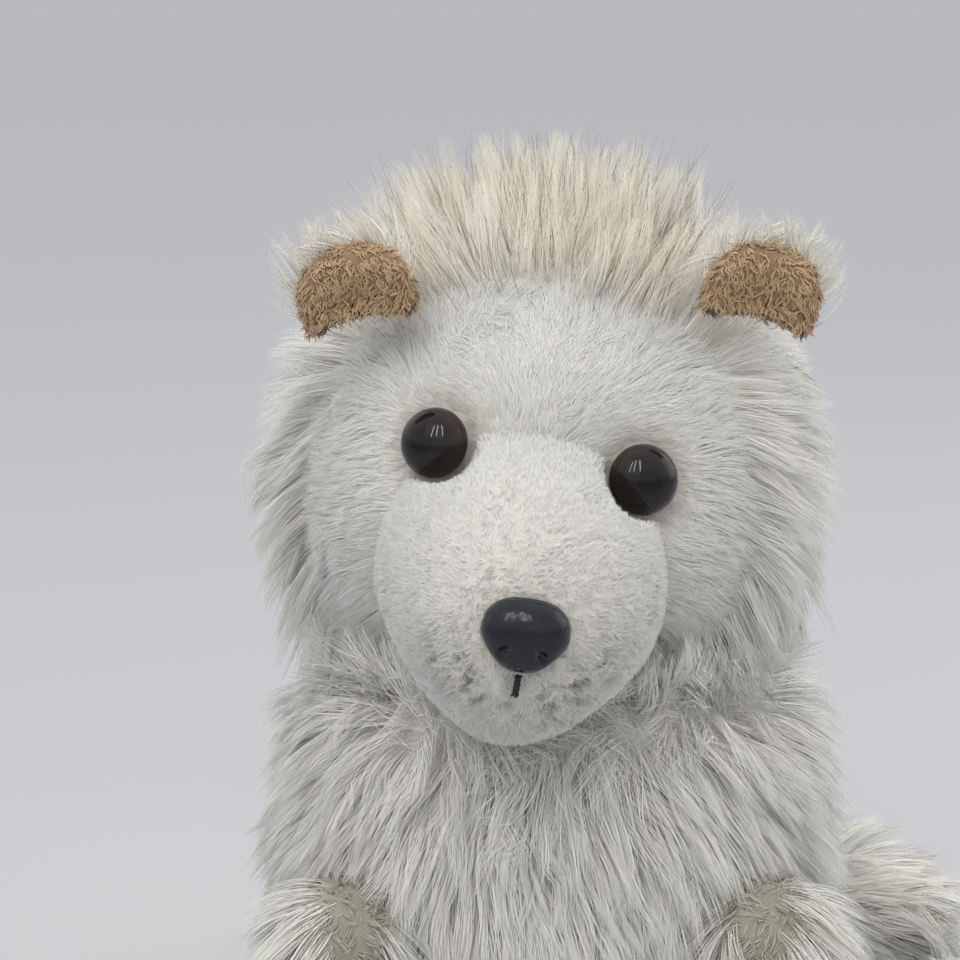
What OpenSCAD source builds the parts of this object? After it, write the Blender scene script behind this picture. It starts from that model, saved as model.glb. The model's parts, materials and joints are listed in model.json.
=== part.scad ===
/* [Head] */
// Outer radius of the head ball over the combed pile
head_r = 58; // [50:1:62]
// Height of the head ball's centre, which is also the neck pivot
head_z = 182; // [178:1:190]
// Distance of the head ball's centre behind the body's middle
head_y = 8; // [4:1:10]
// Depth of long pile and backing on the back of the head
head_pile = 8; // [5:0.5:10]
// Radius of the round neck opening in the head cover
neck_hole_r = 20; // [14:1:22]

/* [Face] */
// Roll of the sewn face, the dog's left eye lower
face_roll = 9; // [0:1:12]
// Sideways offset of the sewn face on the head ball
face_shift = -6; // [-8:0.5:8]
// Radius of the round face panel seen from the front
face_r = 43; // [38:1:46]
// Height of the face panel's middle over the head ball's centre
face_up = -1; // [-4:0.5:4]
// Depth of short pile and backing on the face
face_pile = 5; // [3:0.5:6]

/* [Muzzle] */
// Radius of the muzzle at its root
muzzle_r = 29; // [25:0.5:31]
// Length of the muzzle from its widest ring to its tip
muzzle_len = 58; // [50:1:62]
// Height of the muzzle's root over the head ball's centre
muzzle_up = -11; // [-13:0.5:-8]
// Droop of the muzzle towards its tip
muzzle_droop = 2; // [0:0.5:4]
// Depth of short pile and backing on the muzzle
muzzle_pile = 3; // [2:0.5:4]

/* [Eyes and nose] */
// Diameter of each plastic eye
eye_d = 14; // [12:0.5:15]
// Distance from each eye to the middle of the face
eye_half_spacing = 20.3; // [19:0.1:22]
// Height of the eyes over the head ball's centre
eye_up = 11; // [9:0.5:13]
// Diameter of the moulded shanks
shank_d = 4.5; // [3.5:0.5:5]
// Diameter of the lock washers
washer_d = 13; // [11:0.5:14]
// Width of the plastic nose
nose_w = 16; // [14:0.5:18]
// Height of the plastic nose
nose_h = 13.5; // [12:0.5:15]

/* [Ears] */
// Width of an ear at its base
ear_w = 25; // [20:1:28]
// Height of an ear above its fold line
ear_h = 20.5; // [18:0.5:24]
// Thickness of each of an ear's two layers
ear_layer = 3; // [2:0.5:3]

/* [Body] */
// Radius of the seated body at its widest, over the combed pile
body_r = 54; // [50:1:56]
// Radius of the chest, over the combed pile
chest_r = 51; // [48:1:53]
// Distance along the body from the rump to the chest
body_len = 66; // [60:1:68]
// Forward lean of the seated body
body_lean = 20; // [16:1:22]
// Depth of long pile and backing on the body
body_pile = 8; // [6:0.5:10]
// Radius of the flat seat panel
seat_r = 28; // [24:1:29]
// Thickness of the seat panel
seat_t = 3; // [2:0.5:4]

/* [Legs] */
// Radius of a front leg
front_leg_r = 14.5; // [12:0.5:15]
// Distance of each front leg from the middle
front_leg_x = 43; // [42:0.5:45]
// Height of the shoulder pivots
shoulder_z = 95; // [88:1:98]
// Radius of a haunch
haunch_r = 30; // [26:1:31]
// Distance of each hip from the middle
hip_x = 47; // [46:0.5:50]
// Radius of a hind foot
foot_r = 13; // [11:0.5:14]
// Outward angle of the hind feet
foot_toe_out = 25; // [22:1:32]
// Depth of short pile and backing on the legs
leg_pile = 3; // [2:0.5:4]

/* [Tail] */
// Half-width of the oval that the tail curls along
tail_curl_r = 50; // [46:1:54]
// Thickest radius of the tail, over the pile
tail_r = 20; // [18:1:22]

/* [Hidden] */

$fn = 64;
left = 1;                      // the dog's left is +X, as it faces -Y
right = -1;
big = 400;                     // larger than the whole toy, for cutting
snug = 0.1;                    // gap between pieces of one body
free = 0.5;                    // gap between pieces that move past each other
round_steps = 10;              // points along each rounded end of a profile
head_at = [0, head_y, head_z];

// Body frame and seat
body_at = [0, 20, 45];         // centre of the rump
body_tip = 46;                 // how far the rounded neck end reaches past the chest
seat_at = [0, 16, 0];
bag_r = 19;
bag_h = 16;
chin_room_y = -26;             // front of the neck, where the chest stops lower for the chin
chin_room_z = 124;
chin_room_slope = 25;
neck_r = 24;
neck_bottom = 108;

// Legs and tail
front_leg_y = -42;
paw_r = 15;
paw_forward = 9;
bay_top = shoulder_z + front_leg_r + free;
bay_out = 70;
hip_y = 26;
hip_z = 33;
foot_len = 53;
tail_root = [4, 82, 46];
tail_root_r = 10;
tail_spin = 21;                // angle of the curl's start round its oval
tail_squash = 0.5;             // depth of the oval against its width
tail_steps = 8;
tail_sweep = 140;
tail_lift = 1;                 // rise of the tail's tip over its root
tail_pile = 8;

// Eyes, nose and mouth
eye_dome = 5.6;                // how far an eye stands out from its flat back
eye_back = head_r - 3.8;       // radius at which the eyes' flat backs sit
shank_len = 12;
washer_t = 1.4;
nose_up = 1;                   // nose above the muzzle's own axis
nose_back = muzzle_len - 2;     // the muzzle is flat there, under the nose
nose_dome = 5.5;
mouth_len = 5;
mouth_d = 1.1;

// Ears
ear_dir = [0.595, -0.556, 0.58];   // from the head's centre to an ear's fold line
ear_dist = head_r + ear_layer + 3.2;
ear_roll = 14;                 // slope of the fold line down and outwards
ear_lean = 12;                 // lean of an ear's face upwards from straight ahead

// ---- outlines ----

// Quarter of a superellipse from its widest point to its tip, as [radius, distance]
function dome(r, len, power, steps) =
    [for (i = [0 : steps]) let (a = 90 * i / steps)
        [r * pow(cos(a), 2 / power), len * pow(sin(a), 2 / power)]];

// Outline of the seated body along its own axis, shrunk by inset
function body_outline(inset) = concat(
    [for (i = [0 : round_steps]) let (a = -90 + 90 * i / round_steps)
        [(body_r - inset) * cos(a), (body_r - inset) * sin(a)]],
    [for (p = dome(chest_r - inset, body_tip - inset, 2, round_steps)) [p[0], body_len + p[1]]]
);

// Radius of the body's side at a height along its own axis
function body_radius(s) = body_r + (chest_r - body_r) * s / body_len;

// Outline of a front leg from its sole to its rounded shoulder
function leg_outline(inset) = concat(
    [[0, inset], [front_leg_r - inset, inset]],
    [for (p = dome(front_leg_r - inset, front_leg_r - inset, 2, round_steps)) [p[0], shoulder_z + p[1]]]
);

// Outline of a hind foot from inside the haunch to its toes
function foot_outline(inset) = concat(
    [[0, 0], [foot_r - inset, 0]],
    [for (p = dome(foot_r - inset, foot_r - inset, 2, round_steps)) [p[0], foot_len - foot_r + p[1]]]
);

// ---- shared solids ----

module head_ball(inset) {
    translate(head_at) sphere(head_r - inset);
}

module above(z) {
    translate([-big / 2, -big / 2, z]) cube(big);
}

module in_face() {
    translate(head_at) rotate([0, face_roll, 0]) translate([face_shift, 0, 0]) children();
}

// Everything in front of the head that lies inside the round face outline
module face_prism(grow) {
    in_face() translate([0, -8, face_up]) rotate([90, 0, 0]) cylinder(r = face_r + grow, h = big);
}

module on_muzzle_axis() {
    in_face() translate([0, -36, muzzle_up]) rotate([90 + muzzle_droop, 0, 0]) children();
}

module muzzle_solid(inset) {
    on_muzzle_axis() rotate_extrude()
        polygon(concat([[0, 0]], dome(muzzle_r - inset, muzzle_len - inset, 2.4, round_steps)));
}

// Places its children on the head ball's surface at an eye, with +Z pointing out of the eye
module at_eye(side) {
    x = side * eye_half_spacing + face_shift;
    out = sqrt(head_r * head_r - x * x - eye_up * eye_up);
    translate(head_at) rotate([0, face_roll, 0])
        rotate([0, 0, atan2(x, out)]) rotate([90 - atan2(eye_up, norm([x, out])), 0, 0]) children();
}

module at_ear(side) {
    mirror([side < 0 ? 1 : 0, 0, 0])
        translate(head_at + ear_dist * ear_dir / norm(ear_dir)) rotate([ear_lean, ear_roll, 0]) children();
}

// ---- body ----

module body_solid(inset, base) {
    difference() {
        translate(body_at) rotate([body_lean, 0, 0]) rotate_extrude() polygon(body_outline(inset));
        translate(head_at) sphere(head_r + free + inset / 4);
        for (side = [left, right]) {
            front_leg_bay(side, inset / 3);
            translate([side * hip_x, hip_y, hip_z]) sphere(haunch_r + free + inset / 3);
            at_foot(side) translate([0, 0, 1]) cylinder(r = foot_r + free + inset / 3, h = foot_len);
        }
        translate(tail_root) sphere(tail_root_r + free + inset / 3);
        chin_room(inset / 3);
        translate([-big / 2, -big / 2, base - big]) cube(big);
    }
}

// Room over the chest for the chin and muzzle over the head's whole travel
module chin_room(grow) {
    translate([-big / 2, chin_room_y - big, chin_room_z - grow]) cube([big, big + 1, big]);
    translate([-big / 2, chin_room_y, chin_room_z - grow]) rotate([chin_room_slope, 0, 0]) cube(big);
}

// Room beside the chest for a front leg over its whole swing
module front_leg_bay(side, grow) {
    inner = front_leg_x - front_leg_r - 1 - grow;
    mirror([side < 0 ? 1 : 0, 0, 0])
        translate([inner, -big, -1]) cube([bay_out, big + front_leg_y + front_leg_r + 1 + grow, bay_top + 1 + grow]);
}

module neck_bore() {
    translate([0, head_y, neck_bottom]) cylinder(r = neck_r + free, h = big);
}

module torso_cover() {
    color("ivory") difference() {
        body_solid(0, 0);
        body_solid(body_pile, seat_t);
        translate(seat_at - [0, 0, 1]) cylinder(r = seat_r + snug, h = body_pile + 1);
        neck_bore();
    }
}

module torso_filling() {
    color("whitesmoke") difference() {
        body_solid(body_pile + snug, seat_t + snug);
        neck_bore();
        bean_bag(snug);
    }
}

module seat_panel() {
    color("linen") translate(seat_at) cylinder(r = seat_r, h = seat_t);
}

module bean_bag(grow) {
    translate(seat_at + [0, 0, seat_t + 1 + bag_h / 2]) rotate_extrude()
        polygon([for (i = [-round_steps : round_steps]) let (a = 90 * i / round_steps)
            [(bag_r + grow) * cos(a), (bag_h / 2 + grow) * sin(a)]]);
}

module seat_bean_bag() {
    color("lightsteelblue") bean_bag(0);
}

// Ladder stitches that close the filling hole low on the back
module closing_stitches() {
    stitches = 7;
    color("gainsboro") for (i = [0 : stitches - 1])
        translate(body_at) rotate([body_lean, 0, 0]) rotate([0, 0, 90])
            translate([body_radius(30 + 4 * i) + 0.45, -2.5, 30 + 4 * i]) rotate([-90, 0, 0]) cylinder(d = 0.8, h = 5);
}

// Blank care label folded into the rump seam
module seam_label() {
    color("white") translate([-24, 68.6, 36]) rotate([0, 0, 22]) cube([0.6, 12, 14]);
}

module neck_filling() {
    color("whitesmoke") difference() {
        translate([0, head_y, neck_bottom + free]) cylinder(r = neck_r, h = head_z - neck_bottom - head_r / 2);
        head_ball(-free);
    }
}

// ---- head ----

module head_back_cover() {
    color("ivory") difference() {
        head_ball(0);
        head_ball(head_pile);
        face_prism(snug);
        translate([0, head_y, 0]) cylinder(r = neck_hole_r, h = head_z);
    }
}

module face_panel() {
    color("snow") difference() {
        intersection() {
            head_ball(0);
            face_prism(0);
        }
        head_ball(face_pile);
        for (side = [left, right]) {
            eye_seat(side);
            at_eye(side) cylinder(d = shank_d + 2 * snug, h = head_r);
        }
    }
}

// Round recess in the pile that an eye sits in
module eye_seat(side) {
    at_eye(side) translate([0, 0, eye_back - snug]) cylinder(d = eye_d + 2 * snug, h = 20);
}

module muzzle_cover() {
    color("white") difference() {
        muzzle_solid(0);
        muzzle_solid(muzzle_pile);
        head_ball(-snug);
        on_muzzle_axis() {
            translate([0, 0, nose_back - snug]) cylinder(r = muzzle_r, h = nose_dome);
            translate([0, nose_up, 0]) cylinder(d = shank_d + 2 * snug, h = muzzle_len);
        }
        for (side = [left, right]) eye_seat(side);
    }
}

module head_filling() {
    color("whitesmoke") difference() {
        head_ball(head_pile + snug);
        for (side = [left, right]) at_eye(side)
            translate([0, 0, eye_back - shank_len - snug]) cylinder(d = washer_d + 2 * snug, h = big);
    }
}

module muzzle_filling() {
    color("whitesmoke") difference() {
        muzzle_solid(muzzle_pile + snug);
        head_ball(-snug);
        on_muzzle_axis() translate([0, nose_up, nose_back - shank_len - snug])
            cylinder(d = washer_d + 2 * snug, h = big);
    }
}

module eye(side) {
    color("#1c1512") at_eye(side) translate([0, 0, eye_back]) {
        rotate_extrude() polygon(concat([[0, 0]], dome(eye_d / 2, eye_dome, 2, round_steps)));
        translate([0, 0, -shank_len]) cylinder(d = shank_d, h = shank_len + 1);
    }
}

module eye_left() { eye(left); }
module eye_right() { eye(right); }

module washer() {
    difference() {
        cylinder(d = washer_d, h = washer_t);
        translate([0, 0, -1]) cylinder(d = shank_d + 2 * snug, h = washer_t + 2);
    }
}

module eye_washers() {
    color("lightgray") for (side = [left, right])
        at_eye(side) translate([0, 0, eye_back - 8]) washer();
}

module nose() {
    top_r = nose_h * 0.36;
    low_r = nose_h * 0.3;
    color("#14171d") on_muzzle_axis() translate([0, nose_up, nose_back]) {
        intersection() {
            hull() {
                for (side = [left, right])
                    translate([side * (nose_w / 2 - top_r), nose_h / 2 - top_r, 0]) sphere(top_r, $fn = 32);
                translate([0, low_r - nose_h / 2, 0]) sphere(low_r, $fn = 32);
                translate([0, 0, nose_dome - 4]) sphere(4, $fn = 32);
            }
            cylinder(r = nose_w, h = nose_w);
        }
        translate([0, 0, -shank_len]) cylinder(d = shank_d, h = shank_len + 1);
    }
}

module nose_washer() {
    color("lightgray") on_muzzle_axis() translate([0, nose_up, nose_back - 8]) washer();
}

// Short upright stitch under the nose
module mouth_stitch() {
    color("#15161a") on_muzzle_axis()
        translate([0, nose_up - nose_h / 2 - mouth_len - 0.6, nose_back + mouth_d / 2]) rotate([-90, 0, 0])
            cylinder(d = mouth_d, h = mouth_len);
}

// ---- ears ----

module ear_outline() {
    polygon([for (i = [0 : 2 * round_steps]) let (a = 90 * i / round_steps)
        [ear_w / 2 * sign(cos(a)) * pow(abs(cos(a)), 0.85), ear_h * pow(abs(sin(a)), 0.9)]]);
}

// One layer of an ear, from front to back along Y
module ear_layer_solid(front) {
    translate([0, front + ear_layer, 0]) rotate([90, 0, 0]) linear_extrude(ear_layer) ear_outline();
}

module ear_back(side) {
    color("ivory") at_ear(side) ear_layer_solid(snug / 2);
}

module ear_inner(side) {
    color("tan") at_ear(side) ear_layer_solid(-ear_layer - snug / 2);
}

module ear_left_back() { ear_back(left); }
module ear_left_inner() { ear_inner(left); }
module ear_right_back() { ear_back(right); }
module ear_right_inner() { ear_inner(right); }

// ---- front legs ----

module front_leg_solid(side, inset) {
    intersection() {
        translate([side * front_leg_x, front_leg_y, 0]) union() {
            rotate_extrude() polygon(leg_outline(inset));
            translate([0, -paw_forward, paw_r - 4]) sphere(paw_r - inset);
        }
        above(inset);
    }
}

module front_leg_cover(side) {
    color("antiquewhite") difference() {
        front_leg_solid(side, 0);
        front_leg_solid(side, leg_pile);
    }
}

module front_leg_filling(side) {
    color("whitesmoke") front_leg_solid(side, leg_pile + snug);
}

module front_leg_left_cover() { front_leg_cover(left); }
module front_leg_left_filling() { front_leg_filling(left); }
module front_leg_right_cover() { front_leg_cover(right); }
module front_leg_right_filling() { front_leg_filling(right); }

// ---- hind legs ----

module at_foot(side) {
    mirror([side < 0 ? 1 : 0, 0, 0])
        translate([hip_x, hip_y, foot_r]) rotate([90, 0, foot_toe_out]) children();
}

module foot_solid(side, inset) {
    intersection() {
        at_foot(side) rotate_extrude() polygon(foot_outline(inset));
        above(inset);
    }
}

module haunch_solid(side, inset) {
    translate([side * hip_x, hip_y, hip_z]) rotate([0, -90, 0]) sphere(haunch_r - inset);
}

module haunch_cover(side) {
    color("ivory") difference() {
        haunch_solid(side, 0);
        haunch_solid(side, body_pile);
        foot_solid(side, -snug);
    }
}

module hind_foot_cover(side) {
    color("antiquewhite") difference() {
        foot_solid(side, 0);
        foot_solid(side, leg_pile);
        haunch_solid(side, body_pile);
    }
}

module hind_leg_filling(side) {
    color("whitesmoke") {
        haunch_solid(side, body_pile + snug);
        foot_solid(side, leg_pile + snug);
    }
}

module haunch_left_cover() { haunch_cover(left); }
module hind_foot_left_cover() { hind_foot_cover(left); }
module hind_leg_left_filling() { hind_leg_filling(left); }
module haunch_right_cover() { haunch_cover(right); }
module hind_foot_right_cover() { hind_foot_cover(right); }
module hind_leg_right_filling() { hind_leg_filling(right); }

// ---- tail ----

// Middle of the tail a share t of the way from its root to its tip
function tail_point(t) = let (a = tail_spin + tail_sweep * t)
    tail_root + [tail_curl_r * (cos(tail_spin) - cos(a)), tail_curl_r * (sin(a) - sin(tail_spin)) * tail_squash,
        tail_lift * t];
function tail_radius(t) = tail_root_r + (tail_r - tail_root_r) * sin(min(t * 150, 90)) - 6 * max(0, t - 0.75) * 4;

module tail_solid(inset) {
    for (i = [0 : tail_steps - 1]) hull() for (t = [i / tail_steps, (i + 1) / tail_steps])
        translate(tail_point(t)) sphere(tail_radius(t) - inset, $fn = 20);
}

module tail_cover() {
    color("ivory") difference() {
        tail_solid(0);
        tail_solid(tail_pile);
        translate(tail_root) rotate([90, 0, 0]) cylinder(r = tail_root_r - tail_pile, h = 2 * tail_root_r, $fn = 24);
    }
}

module tail_filling() {
    color("whitesmoke") tail_solid(tail_pile + 3 * snug);
}

torso_cover();
torso_filling();
seat_panel();
seat_bean_bag();
closing_stitches();
seam_label();
neck_filling();
head_back_cover();
face_panel();
muzzle_cover();
head_filling();
muzzle_filling();
eye_left();
eye_right();
eye_washers();
nose();
nose_washer();
mouth_stitch();
ear_left_back();
ear_left_inner();
ear_right_back();
ear_right_inner();
front_leg_left_cover();
front_leg_left_filling();
front_leg_right_cover();
front_leg_right_filling();
haunch_left_cover();
hind_foot_left_cover();
hind_leg_left_filling();
haunch_right_cover();
hind_foot_right_cover();
hind_leg_right_filling();
tail_cover();
tail_filling();
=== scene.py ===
import bpy, bmesh, json, math
import numpy as np
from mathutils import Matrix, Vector, kdtree


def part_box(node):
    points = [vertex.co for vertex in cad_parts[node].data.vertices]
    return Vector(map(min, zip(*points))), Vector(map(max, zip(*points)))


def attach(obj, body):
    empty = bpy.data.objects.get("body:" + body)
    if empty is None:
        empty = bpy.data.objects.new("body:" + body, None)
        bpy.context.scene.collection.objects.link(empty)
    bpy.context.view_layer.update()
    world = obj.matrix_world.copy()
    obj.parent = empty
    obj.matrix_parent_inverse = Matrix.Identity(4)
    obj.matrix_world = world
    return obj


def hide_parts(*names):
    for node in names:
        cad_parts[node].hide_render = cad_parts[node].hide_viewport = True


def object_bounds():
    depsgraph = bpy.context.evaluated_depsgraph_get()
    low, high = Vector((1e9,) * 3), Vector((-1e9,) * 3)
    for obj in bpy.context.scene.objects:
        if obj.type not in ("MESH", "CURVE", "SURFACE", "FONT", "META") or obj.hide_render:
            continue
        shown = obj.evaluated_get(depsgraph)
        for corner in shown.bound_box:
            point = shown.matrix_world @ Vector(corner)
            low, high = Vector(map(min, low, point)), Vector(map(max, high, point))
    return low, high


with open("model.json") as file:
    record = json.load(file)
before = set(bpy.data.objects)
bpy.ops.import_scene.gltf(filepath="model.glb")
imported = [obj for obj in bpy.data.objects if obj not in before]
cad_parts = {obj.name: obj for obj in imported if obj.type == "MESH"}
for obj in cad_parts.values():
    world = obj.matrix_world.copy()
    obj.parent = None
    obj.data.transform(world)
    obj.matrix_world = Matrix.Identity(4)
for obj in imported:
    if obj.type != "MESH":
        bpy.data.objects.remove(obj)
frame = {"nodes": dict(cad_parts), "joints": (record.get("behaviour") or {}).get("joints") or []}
cadLow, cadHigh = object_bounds()
print("frame loaded")


def middle(node):
    low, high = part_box(node)
    return np.array((low + high) / 2)


def joint(name):
    return next(j for j in frame["joints"] if j["name"] == name)


def unit(v):
    return v / np.maximum(np.linalg.norm(v, axis=-1, keepdims=True), 1e-9)


def smooth(x, low, high):
    t = np.clip((x - low) / (high - low), 0, 1)
    return t * t * (3 - 2 * t)


# the head ball, and the face's own directions, which roll a little to one side
headLow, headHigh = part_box("head_back_cover")
headRadius = (headHigh.x - headLow.x) / 2
headMiddle = np.array([0.0, headHigh.y - headRadius, headHigh.z - headRadius])
eyeAxes = [unit(middle(name) - headMiddle) for name in ("eye_left", "eye_right")]
faceAcross = unit((middle("eye_left") - middle("eye_right")) * [1, 0, 1])
faceUp = np.array([-faceAcross[2], 0, faceAcross[0]])
faceAhead = np.array([0.0, -1.0, 0.0])
eyesMiddle = (middle("eye_left") + middle("eye_right")) / 2 - headMiddle
faceMiddle = headMiddle + faceAcross * (eyesMiddle @ faceAcross)
faceLow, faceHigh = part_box("face_panel")
faceRadius = (faceHigh.x - faceLow.x) / 2
fullTurn, thirdTurn = 6.28, 2.0944  # radians
sides = {1: "left", -1: "right"}  # the sign of x on each side


def eyeGaps(points):
    # how far each point is from the two lines out through the eyes
    return np.array([np.linalg.norm(np.cross(points - headMiddle, axis), axis=1) for axis in eyeAxes])


class Wire:
    # a socket that can stand in a Python expression
    def __init__(self, nodes, socket):
        self.nodes, self.socket = nodes, socket

    def maths(self, operation, a, b):
        return self.nodes.add("ShaderNodeMath", {"operation": operation}, {0: a, 1: b})

    def __add__(self, other): return self.maths("ADD", self, other)
    def __radd__(self, other): return self.maths("ADD", other, self)
    def __sub__(self, other): return self.maths("SUBTRACT", self, other)
    def __rsub__(self, other): return self.maths("SUBTRACT", other, self)
    def __mul__(self, other): return self.maths("MULTIPLY", self, other)
    def __rmul__(self, other): return self.maths("MULTIPLY", other, self)


class Nodes:
    def __init__(self, owner):
        owner.use_nodes = True
        self.tree = owner.node_tree

    def add(self, kind, settings=None, sockets=None, output=0):
        node = self.tree.nodes.new(kind)
        for key, value in (settings or {}).items():
            if key == "stops":
                while len(node.color_ramp.elements) < len(value):
                    node.color_ramp.elements.new(0.5)
                for element, (place, colour) in zip(node.color_ramp.elements, value):
                    element.position, element.color = place, (*colour, 1)
            else:
                setattr(node, key, value)
        for key, value in (sockets or {}).items():
            if isinstance(value, Wire):
                self.tree.links.new(value.socket, node.inputs[key])
            else:
                node.inputs[key].default_value = value
        return Wire(self, node.outputs[output])

    def ramp(self, value, *stops):
        return self.add("ShaderNodeValToRGB", {"stops": stops}, {0: value})


class Paint(Nodes):
    def __init__(self, name, **constants):
        self.material = bpy.data.materials.new(name)
        super().__init__(self.material)
        self.shader = self.tree.nodes["Principled BSDF"]
        for key, value in constants.items():
            self.shader.inputs[key.replace("_", " ")].default_value = value

    def attribute(self, name):
        return self.add("ShaderNodeAttribute", {"attribute_name": name}, output=2)

    def place(self):
        return self.add("ShaderNodeTexCoord", output=3)

    def noise(self, scale, detail=3):
        sockets = {"Vector": self.place(), "Scale": scale, "Detail": detail}
        return self.add("ShaderNodeTexNoise", sockets=sockets)

    def weave(self, direction, scale):
        return self.add(
            "ShaderNodeTexWave", {"wave_type": "BANDS", "bands_direction": direction},
            {"Vector": self.place(), "Scale": scale, "Distortion": 0.6}, 1)

    def mix(self, share, a, b):
        a, b = [(*c, 1) if isinstance(c, tuple) else c for c in (a, b)]
        return self.add("ShaderNodeMix", {"data_type": "RGBA"}, {0: share, 6: a, 7: b}, 2)

    def bump(self, height, strength, distance):
        sockets = {"Height": height, "Strength": strength, "Distance": distance}
        return self.add("ShaderNodeBump", sockets=sockets)

    def finish(self, **sockets):
        for key, value in sockets.items():
            self.tree.links.new(value.socket, self.shader.inputs[key.replace("_", " ")])
        return self.material


def pilePaint(name, root, tip, shade, tint=None):
    # root and tip colour, the colour of the darker locks, and a tint colour laid on where the pile is dyed
    # or airbrushed, and on the face as painted shade round the eyes
    paint = Paint(name, Roughness=0.62, Sheen_Weight=0.12, Sheen_Roughness=0.5, Specular_IOR_Level=0.25)
    # where a root is darker than its tip, the darker root colour is painted shade deep among the strands
    colour = paint.mix(paint.attribute("along"), root, tip)
    colour = paint.mix(paint.attribute("shade") * 0.5, colour, shade)
    if tint:
        colour = paint.mix(paint.attribute("tint"), colour, tint)
    return paint.finish(Base_Color=colour)


paints = {
    "long": pilePaint(
        "longPile", (0.925, 0.895, 0.815), (0.945, 0.925, 0.865), (0.86, 0.83, 0.73), (0.95, 0.84, 0.62)),
    # the face pile's tint colour is painted shade, laid round the eyes
    "face": pilePaint(
        "facePile", (0.85, 0.83, 0.775), (0.89, 0.875, 0.84), (0.84, 0.82, 0.765), (0.50, 0.46, 0.37)),
    "muzzle": pilePaint(
        "muzzlePile", (0.78, 0.76, 0.71), (0.82, 0.805, 0.765), (0.77, 0.75, 0.71), (0.22, 0.225, 0.24)),
    "leg": pilePaint(
        "legPile", (0.36, 0.34, 0.27), (0.56, 0.535, 0.45), (0.38, 0.36, 0.285)),
    "ear": pilePaint(
        "earPile", (0.34, 0.205, 0.10), (0.63, 0.455, 0.27), (0.42, 0.275, 0.15), (0.15, 0.075, 0.055)),
    "stray": pilePaint(
        "strayHair", (0.50, 0.42, 0.27), (0.10, 0.08, 0.06), (0.3, 0.24, 0.15)),
}


def clothPaint(name, light, dark, scale):
    paint = Paint(name, Roughness=0.85)
    thread = (paint.weave("X", scale) + paint.weave("Z", scale)) * 0.5
    colour = paint.mix(thread * 0.6 + paint.noise(160) * 0.4, dark, light)
    return paint.finish(Base_Color=colour, Normal=paint.bump(thread, 0.5, 0.0004))


for key, name, light, dark, scale in (
    # the skin, face, leg and ear backings below are toned darker than the piles on them: painted shade deep
    # between the locks; their weave is the cloth's own
    ("skin", "backingCloth", (0.80, 0.79, 0.75), (0.62, 0.60, 0.54), 700),
    # the face and muzzle backing is toned like shaded pile: painted shade between the short fibres, most of
    # all round the eyes
    ("faceSkin", "faceBacking", (0.66, 0.635, 0.57), (0.60, 0.57, 0.50), 90),
    ("legSkin", "legBacking", (0.36, 0.34, 0.27), (0.30, 0.28, 0.22), 90),
    ("earSkin", "earBacking", (0.36, 0.24, 0.14), (0.24, 0.15, 0.08), 700),
    ("seat", "seatCloth", (0.74, 0.72, 0.68), (0.56, 0.54, 0.49), 380),
    ("bag", "beanBagCloth", (0.70, 0.73, 0.78), (0.52, 0.55, 0.60), 420),
    ("thread", "sewingThread", (0.78, 0.77, 0.73), (0.58, 0.56, 0.50), 900),
    ("blackThread", "blackThread", (0.030, 0.030, 0.036), (0.010, 0.010, 0.013), 1200),
    ("ribbon", "labelRibbon", (0.86, 0.86, 0.85), (0.74, 0.74, 0.73), 900),
):
    paints[key] = clothPaint(name, light, dark, scale)
print("paints mixed")


def tidyNormals(mesh):
    shell = bmesh.new()
    shell.from_mesh(mesh)
    bmesh.ops.recalc_face_normals(shell, faces=shell.faces)
    shell.to_mesh(mesh)
    shell.free()
    mesh.shade_smooth()


def meshPiece(name, points, faces, paint):
    mesh = bpy.data.meshes.new(name)
    points = [tuple(map(float, p)) for p in points]
    mesh.from_pydata(points, [], [tuple(map(int, f)) for f in faces])
    mesh.validate()
    tidyNormals(mesh)
    mesh.materials.append(paint)
    piece = bpy.data.objects.new(name, mesh)
    bpy.context.scene.collection.objects.link(piece)
    return piece


def dress(piece, body, slot, fill, *nodes):
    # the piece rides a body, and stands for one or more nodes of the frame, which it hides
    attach(piece, body)
    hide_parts(*nodes)
    return piece


def applyModifiers(piece):
    bpy.context.view_layer.update()
    evaluated = piece.evaluated_get(bpy.context.evaluated_depsgraph_get())
    mesh = bpy.data.meshes.new_from_object(evaluated)
    piece.modifiers.clear()
    piece.data = mesh


def circle(radius, around, height=0):
    turns = [2 * math.pi * i / around for i in range(around)]
    return [(radius * math.cos(a), radius * math.sin(a), height) for a in turns]


def bands(rows, around, first=0):
    # quads between rings of points that follow one another
    pairs = [(first + j * around + i, first + j * around + (i + 1) % around)
             for j in range(rows) for i in range(around)]
    return [(a, a + around, b + around, b) for a, b in pairs]


def stuffed(name, balls, voxel, rounds, paint):
    # one smooth skin over a row of overlapping balls: (middle, (rx, ry, rz))
    points, faces, across, up = [], [], 24, 14
    for centre, radii in balls:
        first = len(points)
        for j in range(up + 1):
            low = math.pi * j / up
            for i in range(across):
                turn = 2 * math.pi * i / across
                out = [math.sin(low) * math.cos(turn), math.sin(low) * math.sin(turn), math.cos(low)]
                points.append(np.array(centre) + np.array(radii) * out)
        faces += bands(up, across, first)
    piece = meshPiece(name, points, faces, paint)
    remesh = piece.modifiers.new("remesh", "REMESH")
    remesh.mode, remesh.voxel_size, remesh.use_smooth_shade = "VOXEL", voxel, True
    relax = piece.modifiers.new("relax", "SMOOTH")
    relax.factor, relax.iterations = 0.5, rounds
    applyModifiers(piece)
    piece.data.shade_smooth()
    return piece


def pointsOf(piece):
    points = np.zeros(len(piece.data.vertices) * 3, np.float32)
    piece.data.vertices.foreach_get("co", points)
    return points.reshape(-1, 3).astype(float)


def movePoints(piece, points):
    piece.data.vertices.foreach_set("co", points.astype(np.float32).ravel())
    piece.data.update()


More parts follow.
